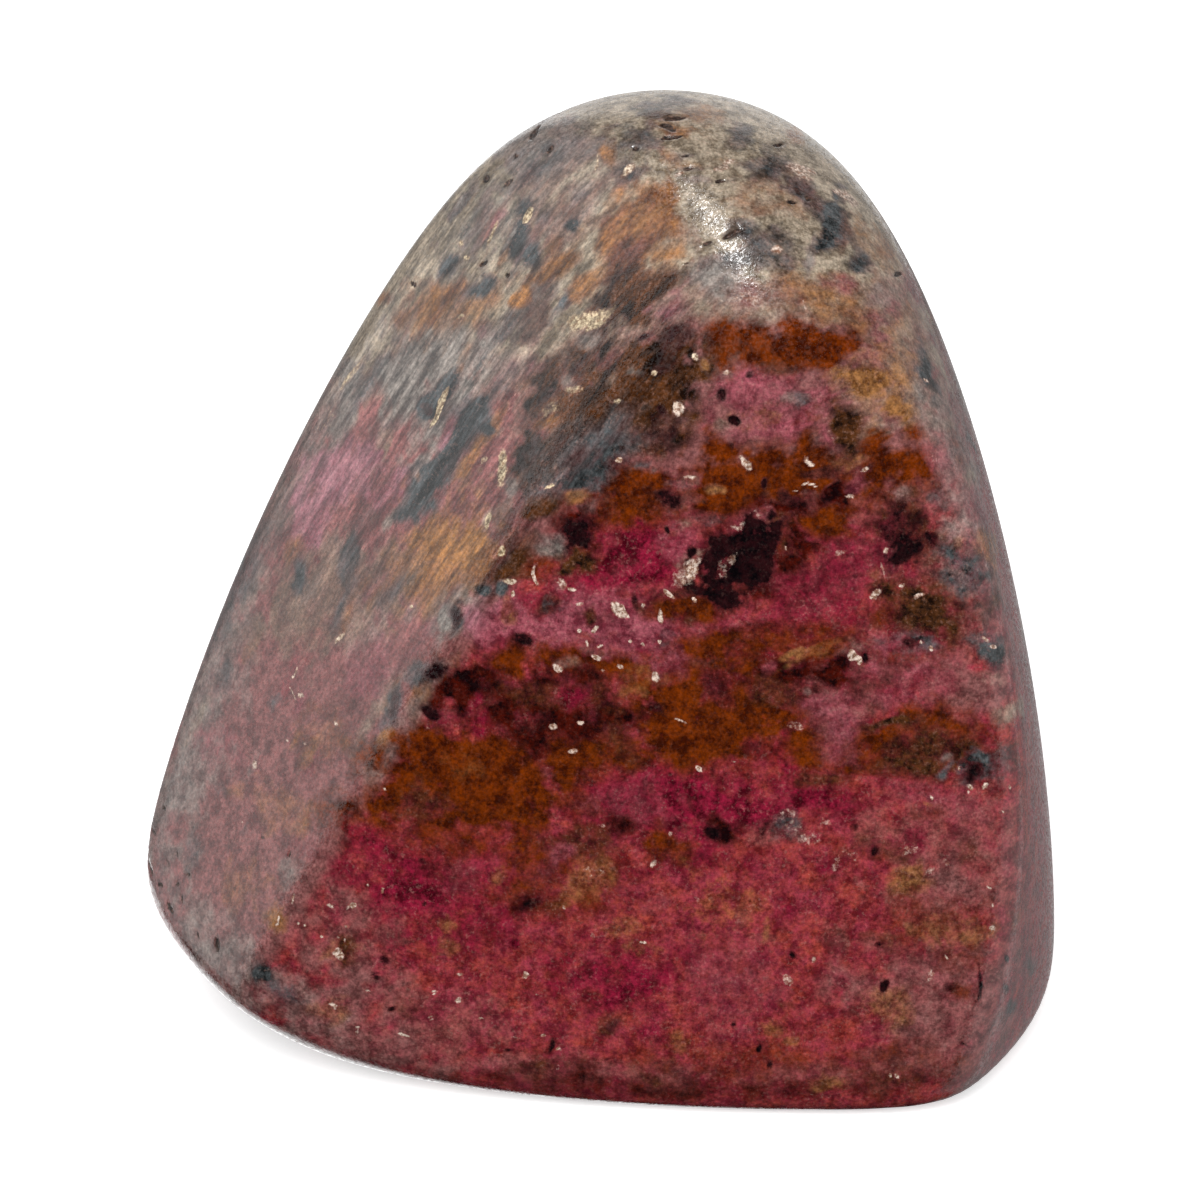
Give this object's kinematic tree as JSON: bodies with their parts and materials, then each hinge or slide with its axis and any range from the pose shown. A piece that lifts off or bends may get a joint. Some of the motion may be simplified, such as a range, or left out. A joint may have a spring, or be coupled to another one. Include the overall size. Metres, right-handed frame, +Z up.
{
  "type": "polished stone freeform",
  "caption": "Hand-polished rhodonite freeform: a leaning rounded pyramid of rose, rust and black stone with soft ground flats, standing on a flat base.",
  "frame": {"origin": "the middle of the overall box, at the level of the flat base", "axes": "+Z up from the flat base towards the rounded top, -Y out of the wide front face, +X to the right of a viewer of that face"},
  "size_m": [0.0696, 0.0518, 0.0678],
  "materials": {
    "rhodonite": "hand-polished, satin to glossy, with fine scratches and a few open pits"
  },
  "bodies": {
    "root": {"stone": "rhodonite"}
  },
  "joints": []
}
